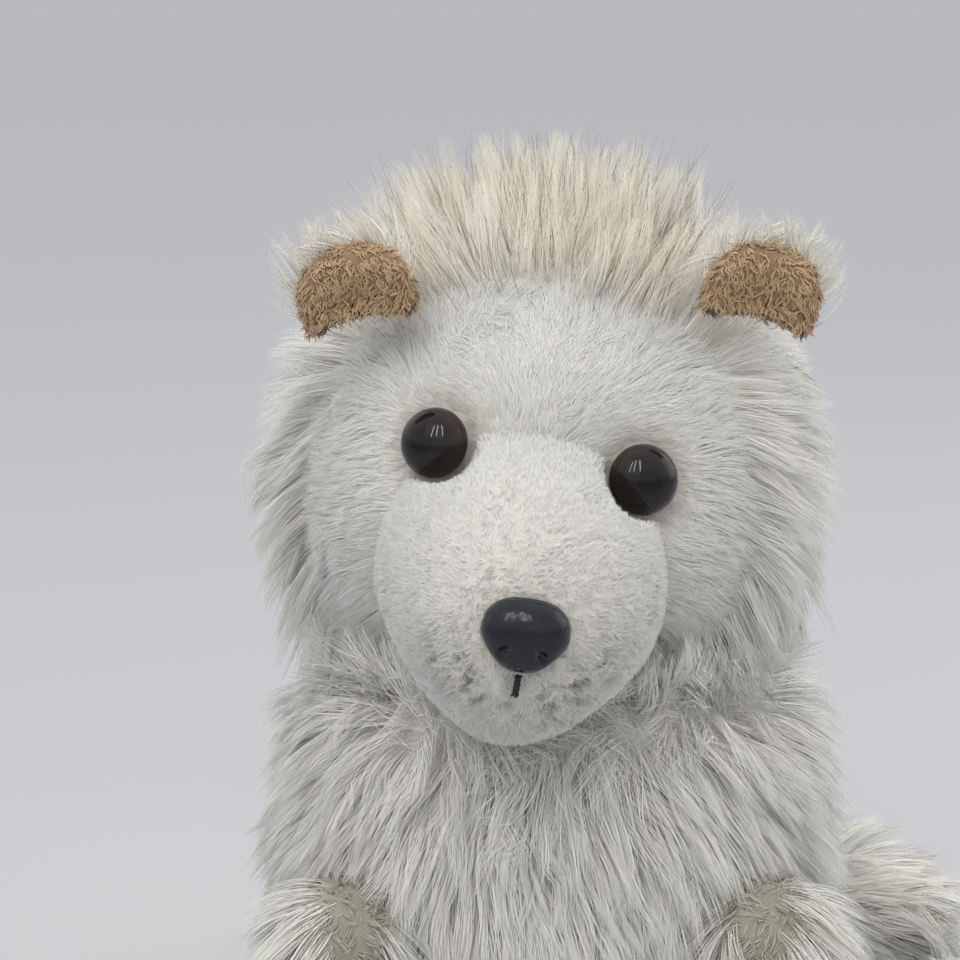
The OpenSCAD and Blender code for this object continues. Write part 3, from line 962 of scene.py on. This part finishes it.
def tube(path, radii, around=8):
    # points and faces of a round tube along a path, closed at its ends
    path = np.array(path, float)
    tangent = unit(np.gradient(path, axis=0))
    side = unit(np.cross(tangent, [0.31, 0.22, 0.93]))
    other = np.cross(tangent, side)
    spokes = circle(1, around)
    points = [p + r * (x * s + y * o) for p, r, s, o in zip(path, radii, side, other) for x, y, z in spokes]
    faces = [(a, d, c, b) for a, b, c, d in bands(len(path) - 1, around)]
    faces += [tuple(range(around))[::-1], tuple(range((len(path) - 1) * around, len(path) * around))]
    return points, faces


mouth = {"top": -0.0066, "length": 0.0040, "radius": 0.00034, "ahead": 0.0568}


def makeMouth():
    points, faces = [], []
    for strand in (0, 1, 2):
        path, radii = [], []
        for t in np.linspace(0, 1, 26):
            spin = 6.28 * (1.6 * t + strand / 3)
            spread = 0.00034 + 0.0007 * max(0, t - 0.8) * 2 + 0.0006 * max(0, 0.15 - t) * 2
            out = 0.0004 * math.sin(math.pi * t)
            at = muzzleBase + muzzleUp * (mouth["top"] - mouth["length"] * t)
            ahead = mouth["ahead"] + out + spread * math.sin(spin) * 0.7
            path.append(at + faceAcross * spread * math.cos(spin) + muzzleAxis * ahead)
            radii.append(mouth["radius"] * (0.75 + 0.25 * math.sin(math.pi * t)))
        more, loops = tube(path, radii)
        faces += [tuple(i + len(points) for i in loop) for loop in loops]
        points += more
    piece = meshPiece("mouth_thread", points, faces, paints["blackThread"])
    dress(piece, "head", "black_thread", None, "mouth_stitch")


makeMouth()
print("eyes, nose and mouth done")


ear = {
    "width": 0.0225, "height": 0.0172, "thick": 0.0092, "cup": 0.0034, "arch": 0.0040,
    "rings": 22, "around": 96}


def makeEar(side):
    # the fold line and the ear's own directions come from its CAD layers
    name = sides[side]
    hinge = joint(f"ear_{name}_fold")
    fold, across = np.array(hinge["pos_m"]), np.array(hinge["axis"])
    if across[0] * side < 0:
        across = -across
    tip = middle(f"ear_{name}_inner") - fold
    up = unit(tip - across * (tip @ across))
    ahead = np.cross(across, up) * (1 if np.cross(across, up)[1] < 0 else -1)
    rings, around, wide, tall = ear["rings"], ear["around"], ear["width"], ear["height"]
    points = []
    for layer in (1, -1):
        for j in range(rings + 1):
            share = j / rings
            for i in range(around):
                a = 2 * math.pi * i / around
                # rounded flap whose lower edge arches up between two blunt feet
                x = wide / 2 * math.copysign(abs(math.cos(a)) ** 0.80, math.cos(a)) * share
                rise = math.sin(a)
                y = tall * (0.58 * rise ** 0.9 if rise > 0 else -0.40 * abs(rise) ** 0.55) * share
                u = x / (wide / 2)
                if y < 0:
                    y += ear["arch"] * (1 - u * u) * share
                puff = ear["thick"] / 2 * max(0, 1 - share ** 4) ** 0.5
                cup = ear["cup"] * (u * u - 0.4) + 0.0030 * float(smooth(np.array(-y / tall), -0.1, 0.4))
                points.append(fold + across * x + up * (y + 0.40 * tall) + ahead * (cup + layer * puff))
    ring = (rings + 1) * around
    faces = bands(rings, around) + [quad[::-1] for quad in bands(rings, around, ring)]
    skin = meshPiece(f"ear_{name}_skin", points, faces, paints["earSkin"])
    merge = skin.modifiers.new("weld", "WELD")
    merge.merge_threshold = 0.00005
    applyModifiers(skin)
    tidyNormals(skin.data)
    dress(skin, f"ear_{name}", "ear_pile", 0.4, f"ear_{name}_inner", f"ear_{name}_back")
    return name, skin, fold, across, up, ahead


earStyle = {
    "length": 0.0034, "lengthSpread": 0.2, "width": 0.00036, "steps": 7,
    "lift": 40, "tipLift": 0.3, "fall": 0.05,
    "strandsInLock": 4, "strandsInWisp": 1.5, "lockPull": 0.35, "wispPull": 0.1,
    "lockLean": 0.35, "wispLean": 0.2, "strandLean": 0.14,
    "waves": 1.2, "waveSize": 0.08, "curl": 0.00024, "curlTurns": 1.4,
}
tuftStyle = {
    **longStyle, "length": 0.0125, "width": 0.00022, "strandsInLock": 16, "fall": 0.0,
    "lockLean": 0.3, "steps": 5, "roundness": 1.0}


def dressEar(side):
    name, skin, fold, across, up, ahead = makeEar(side)
    fall = unit(across * 0.35 - up + ahead * 0.45)

    def brown(points, lines):
        reach = points - fold
        rim = (reach @ up) / ear["height"] + 0.3 * np.abs(reach @ across) / ear["width"]
        return 0.8 * (1 - smooth(rim + 0.12 * ripple(points, 0.01, 52)[:, 0], 0.02, 0.42))

    front = lambda p, n: 3.2 * smooth(n @ ahead, -0.35, -0.15)
    comb = lambda p, n: np.tile(fall, (len(p), 1)) + ripple(p, 0.008, 51) * 0.45
    grow(f"terry_ear_{name}", skin, earStyle, front, comb, "ear", f"ear_{name}", 51, tint=brown)
    back = lambda p, n: 1.6 * smooth(-(n @ ahead), 0.15, 0.4)
    rise = lambda p, n: np.tile(up + across * 0.25 - ahead * 0.2, (len(p), 1)) + ripple(p, 0.01, 53) * 0.3
    grow(f"fur_ear_{name}", skin, tuftStyle, back, rise, "long", f"ear_{name}", 54)


for side in sides:
    dressEar(side)
print("ears done")


leg = {"radius": 0.0122, "pawRadius": 0.0128, "pawAhead": 0.009}
legStyle = {
    "length": 0.0044, "lengthSpread": 0.25, "width": 0.00028, "steps": 4,
    "lift": 48, "tipLift": 0.6, "fall": 0.2,
    "strandsInLock": 9, "strandsInWisp": 2.5, "lockPull": 0.55, "wispPull": 0.3,
    "lockLean": 0.6, "wispLean": 0.4, "strandLean": 0.25, "waves": 1.2, "waveSize": 0.09,
}


def downComb(points, up):
    return np.array([0, -0.1, -0.7]) + ripple(points, 0.015, 61) * 0.5


def makeFrontLeg(side):
    name = sides[side]
    x, y, top = joint(f"front_leg_{name}_swing")["pos_m"]
    r, paw = leg["radius"], leg["pawRadius"]
    balls = [((x, y, z), (r, r, r)) for z in np.linspace(r * 0.9, top, 9)]
    balls.append(((x, y - leg["pawAhead"], paw * 0.85), (paw, paw * 1.05, paw * 0.9)))
    skin = stuffed(f"front_leg_{name}_skin", balls, 0.0028, 5, paints["legSkin"])
    points = pointsOf(skin)
    points[:, 2] = np.maximum(points[:, 2], 0.0008)
    movePoints(skin, points)
    body = f"front_leg_{name}"
    dress(skin, body, "leg_pile", 0.8, f"{body}_cover", f"{body}_filling")

    def edges(points, up):
        out = side * (points[:, 0] - x)
        both = smooth(out, 0.000, 0.005) + smooth(-out, 0.006, 0.009)
        return 2.4 * both * smooth(points[:, 2], 0.030, 0.050)

    edgeStyle = {**longStyle, "length": 0.018, "width": 0.00013}
    down = lambda p, n: np.array([side * 0.25, -0.05, -1]) + ripple(p, 0.03, 62) * 0.25
    grow(f"fur_{body}", skin, edgeStyle, edges, down, "long", body, 63)
    above = lambda p, n: 1.9 * (p[:, 2] > 0.002)
    grow(f"pile_{body}", skin, legStyle, above, downComb, "leg", body, 61)


for side in sides:
    makeFrontLeg(side)
print("front legs done")


hind = {"haunch": 0.0255, "foot": 0.0112, "footLength": 0.053, "toeOut": 25}


def makeHindLeg(side):
    name = sides[side]
    hip = np.array(joint(f"hind_leg_{name}_splay")["pos_m"])
    r = hind["haunch"]
    balls = [(hip, (r, r * 1.02, r)), (hip + [0, 0.002, -0.003], (r * 1.02, r, r * 0.94))]
    haunch = stuffed(f"haunch_{name}_skin", balls, 0.0035, 4, paints["skin"])
    dress(haunch, f"hind_leg_{name}", "long_pile", 0.8, f"haunch_{name}_cover", f"hind_leg_{name}_filling")
    toes = math.radians(hind["toeOut"])
    ahead = np.array([side * math.sin(toes), -math.cos(toes), 0])
    f = hind["foot"]
    base = np.array([hip[0], hip[1], f + 0.0008])
    balls = [(base + ahead * s, (f, f, f)) for s in np.linspace(0.014, hind["footLength"] - f - 0.002, 6)]
    balls[-1] = (balls[-1][0], (f * 1.06, f * 1.06, f))
    foot = stuffed(f"hind_foot_{name}_skin", balls, 0.0028, 4, paints["legSkin"])
    dress(foot, f"hind_leg_{name}", "leg_pile", 0.8, f"hind_foot_{name}_cover")
    outward = lambda p, n: 0.45 * (((p - hip) * [side, 0, 0]).sum(1) > -0.018)
    back = lambda p, n: np.array([side * 0.25, 0.35, -0.8]) + ripple(p, 0.05, 71) * 0.25
    haunchStyle = {**longStyle, "length": 0.019, "width": 0.00038}
    grow(f"fur_haunch_{name}", haunch, haunchStyle, outward, back, "long", f"hind_leg_{name}", 71)
    clear = lambda p, n: 1.9 * (np.linalg.norm(p - hip, axis=1) > r) * (p[:, 2] > 0.002)
    along = lambda p, n: ahead * 0.6 + downComb(p, n)
    grow(f"pile_hind_foot_{name}", foot, legStyle, clear, along, "leg", f"hind_leg_{name}", 72)


for side in sides:
    makeHindLeg(side)
print("hind legs done")


tail = {
    "radius": 0.020, "rootRadius": 0.010, "taper": 0.024, "curl": 0.050, "spin": 21,
    "sweep": 140, "squash": 0.5, "lift": 0.001, "pile": 0.007}


def tailPoint(t):
    first = math.radians(tail["spin"])
    a = math.radians(tail["spin"] + tail["sweep"] * t)
    aside = tail["curl"] * (math.cos(first) - math.cos(a))
    behind = tail["curl"] * (math.sin(a) - math.sin(first)) * tail["squash"]
    return np.array(joint("tail_wag")["pos_m"]) + [aside, behind, tail["lift"] * t]


def makeTail():
    balls = []
    for t in np.linspace(0, 1, 13):
        swell = (tail["radius"] - tail["rootRadius"]) * math.sin(min(t * 150, 90) * math.pi / 180)
        r = tail["rootRadius"] + swell - tail["taper"] * max(0, t - 0.75)
        r -= tail["pile"] * min(1, 0.25 + 2 * t)
        balls.append((tailPoint(t), (r, r, r)))
    skin = stuffed("tail_skin", balls, 0.0035, 4, paints["skin"])
    dress(skin, "tail", "long_pile", 0.7, "tail_cover", "tail_filling")
    spine = np.array([tailPoint(t) for t in np.linspace(0, 1, 60)])
    flow = unit(np.gradient(spine, axis=0))

    def tailComb(points, up):
        near = np.argmin(((points[:, None] - spine[None]) ** 2).sum(-1), axis=1)
        return flow[near] + ripple(points, 0.04, 81) * 0.35

    tailStyle = {
        **longStyle, "length": 0.0215, "width": 0.00015, "lift": 46,
        "fall": 0.1, "lockPull": 0.4, "roundness": 0.12}
    grow("fur_tail", skin, tailStyle, lambda p, n: 1.9 + 0 * p[:, 0], tailComb, "long", "tail", 81)


makeTail()
print("tail done")


def makeNeck():
    low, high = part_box("neck_filling")
    r = (high.x - low.x) / 2
    at = np.array([(low.x + high.x) / 2, (low.y + high.y) / 2, (low.z + high.z) / 2])
    h = (high.z - low.z) / 2
    balls = [(at, (r * 0.97, r * 0.97, h * 0.96)), (at - [0, 0, 0.002], (r * 0.9, r * 0.9, h * 0.8))]
    piece = stuffed("neck_stuffing", balls, 0.0035, 3, paints["skin"])
    dress(piece, "neck", "stuffing", 0.8, "neck_filling")


def makeSeat():
    low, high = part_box("seat_panel")
    r, at = (high.x - low.x) / 2, np.array([(low.x + high.x) / 2, (low.y + high.y) / 2, 0])
    points, rings, around = [], 30, 144
    for layer in (0, 1):
        for j in range(rings + 1):
            s = j / rings
            for i in range(around):
                a = 2 * math.pi * i / around
                pucker = 0.00035 * math.sin(24 * a) * smooth(np.array(s), 0.75, 1.0)
                pucker = abs(pucker + 0.0003 * math.sin(3 * a + 5 * s))
                under = 0.0001 + 0.0011 * smooth(np.array(s), 0.8, 1.0) + pucker
                z = under if layer == 0 else 0.0026 - 0.0010 * s ** 4 - pucker
                points.append(at + [r * s * math.cos(a), r * s * math.sin(a), float(z)])
    ring = (rings + 1) * around
    faces = bands(rings, around) + [quad[::-1] for quad in bands(rings, around, ring)]
    for i in range(around):
        a, b = rings * around + i, rings * around + (i + 1) % around
        faces.append((a, ring + a, ring + b, b))
    piece = meshPiece("seat_cloth_panel", points, faces, paints["seat"])
    dress(piece, "torso", "seat_cloth", 0.3, "seat_panel")


def makeBag():
    low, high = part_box("seat_bean_bag")
    at, r, h = np.array((low + high) / 2), (high.x - low.x) / 2, (high.z - low.z) / 2
    rises = np.linspace(-math.pi / 2, math.pi / 2, 26)[1:-1]
    profile = [(0, -h)] + [(r * math.cos(a) ** 0.8, h * math.sin(a)) for a in rises] + [(0, h)]
    local, faces = lathe(profile, 72)
    pleats = np.abs(np.sin(9 * np.arctan2(local[:, 1], local[:, 0])))
    local[:, :2] *= (0.985 - 0.02 * pleats * (np.abs(local[:, 2]) < h * 0.4))[:, None]
    piece = meshPiece("pellet_bag", local + at, faces, paints["bag"])
    dress(piece, "torso", "bean_bag", 0.5, "seat_bean_bag")


def makeLabel():
    # a plain ribbon folded back on itself, with both ends in the seam
    low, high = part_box("seam_label")
    start = np.array([low.x + 0.0046, low.y, (low.z + high.z) / 2])
    end = np.array([low.x + 0.0006, high.y, (low.z + high.z) / 2])
    out = unit((end - start) * [1, 1, 0])
    side = np.array([out[1], -out[0], 0])
    length, wide, steps = float(np.linalg.norm((end - start)[:2])) - 0.001, high.z - low.z, 40
    path = []
    for t in np.linspace(0, 1, steps):
        s = 1 - abs(2 * t - 1)
        gap = 0.0006 * (1 if t > 0.5 else -1) * min(1, 6 * abs(2 * t - 1)) ** 0.5
        path.append(start + out * length * s + side * (gap + 0.0006 * math.sin(3 * s)))
    heights = np.linspace(-wide / 2, wide / 2, 9)
    points = [p + np.array([0, 0, z]) + side * 0.00012 * k for k in (-1, 1) for p in path for z in heights]
    ring, faces = steps * 9, []
    for layer in (0, 1):
        for j in range(steps - 1):
            for i in range(8):
                a = layer * ring + j * 9 + i
                quad = (a, a + 1, a + 10, a + 9)
                faces.append(quad if layer == 0 else quad[::-1])
    edge = [(0, i) for i in range(8)] + [(j, 8) for j in range(steps - 1)]
    edge += [(steps - 1, 8 - i) for i in range(8)] + [(steps - 1 - j, 0) for j in range(steps - 1)]
    for (j, i), (m, k) in zip(edge, edge[1:] + edge[:1]):
        a, b = j * 9 + i, m * 9 + k
        faces.append((b, a, a + ring, b + ring))
    piece = meshPiece("care_label", points, faces, paints["ribbon"])
    dress(piece, "torso", "label", None, "seam_label")


makeNeck()
makeSeat()
makeBag()
makeLabel()


def plasticPaint(name, colour):
    paint = Paint(name, Roughness=0.4)
    shade = paint.mix(paint.noise(300), colour, tuple(c * 0.86 for c in colour))
    return paint.finish(Base_Color=shade, Normal=paint.bump(paint.noise(1500), 0.1, 0.0002))


paints["washer"] = plasticPaint("washerPlastic", (0.72, 0.72, 0.70))
carried = {"closing_stitches": "thread", "eye_washers": "washer", "nose_washer": "washer"}
for node, key in carried.items():
    thing = frame["nodes"][node]
    thing.data.materials.clear()
    thing.data.materials.append(paints[key])
print("seat, neck, stitches and label done")


stage = {
    "near": (0.575, 0.57, 0.58), "far": (0.505, 0.51, 0.525), "reach": 120.0,
    "sky": (0.97, 0.98, 1.0), "skyStrength": 0.95}


def makeFloor():
    around, rings = 96, (0.4, 0.9, 2.0, 5.0, 15.0, 50.0, stage["reach"])
    points = [(0, 0, 0)] + [point for r in rings for point in circle(r, around)]
    faces = [(0, 1 + i, 1 + (i + 1) % around) for i in range(around)]
    faces += bands(len(rings) - 1, around, 1)
    paint = Paint("floorPaper", Roughness=0.9, Specular_IOR_Level=0.1)
    # the paper is painted darker with distance from the dog: painted falloff of the studio light across the
    # floor
    away = paint.add("ShaderNodeVectorMath", {"operation": "LENGTH"}, {0: paint.place()}, 1)
    share = paint.add("ShaderNodeMath", {"operation": "LOGARITHM"}, {0: away + 1.0, 1: 10.0})
    share = paint.ramp(share, (0.0, (0, 0, 0)), (0.42, (0.6, 0.6, 0.6)), (0.95, (1, 1, 1)))
    colour = paint.mix(share, stage["near"], stage["far"])
    floor = meshPiece("paper_floor", points, faces, paint.finish(Base_Color=colour))


makeFloor()


def lamp(name, kind, energy, at, look, size=None):
    light = bpy.data.lights.new(name, kind)
    light.energy = energy
    if size:
        light.shape, light.size, light.size_y = "RECTANGLE", *size
    thing = bpy.data.objects.new(name, light)
    thing.location = at
    thing.rotation_euler = (Vector(look) - Vector(at)).to_track_quat("-Z", "Y").to_euler()
    bpy.context.scene.collection.objects.link(thing)
    return light


aim = tuple(headMiddle)
lamp("softKey", "AREA", 1.3, (-0.35, -0.75, 1.05), aim, (1.1, 0.9))
lamp("softTop", "AREA", 0.4, (0.2, 0.15, 1.3), aim, (1.4, 1.2))
lamp("softFill", "AREA", 1.6, (0.95, 0.35, 0.55), aim, (0.8, 0.8))
spot = lamp("tailFill", "SPOT", 5.0, (0.42, -0.06, 0.20), (0.118, 0.10, 0.035))
spot.spot_size, spot.spot_blend, spot.shadow_soft_size = math.radians(16), 0.7, 0.05
for k, x in enumerate((-0.30, -0.14, 0.04)):
    lamp(f"tube{k}", "AREA", 0.55, (x, -0.50, 0.74), aim, (0.030, 0.42))
world = bpy.data.worlds.new("studio")
bpy.context.scene.world = world
sky = Nodes(world)
ahead = sky.add("ShaderNodeTexCoord")
height = sky.add("ShaderNodeSeparateXYZ", sockets={0: ahead}, output=2)
glow = sky.ramp(height, (0.02, stage["far"]), (0.22, stage["sky"]))
background = sky.tree.nodes["Background"]
sky.tree.links.new(glow.socket, background.inputs[0])
background.inputs[1].default_value = stage["skyStrength"]

view = {"target": (-0.0154, 0.0, 0.1813), "distance": 0.480, "elevation": 12, "lens": 84.1}
camera = bpy.data.objects.new("camera", bpy.data.cameras.new("camera"))
bpy.context.scene.collection.objects.link(camera)
camera.data.lens, camera.data.sensor_width = view["lens"], 36
camera.data.clip_start, camera.data.clip_end = 0.01, 400
raised = math.radians(view["elevation"])
away = Vector((0, -math.cos(raised), math.sin(raised)))
camera.location = Vector(view["target"]) + away * view["distance"]
camera.rotation_euler = (Vector(view["target"]) - camera.location).to_track_quat("-Z", "Y").to_euler()
bpy.context.scene.camera = camera
bpy.context.scene.view_settings.view_transform = "Standard"
bpy.context.scene.cycles.diffuse_bounces = 12  # white pile needs light to reach its roots
print("floor, light and camera done")
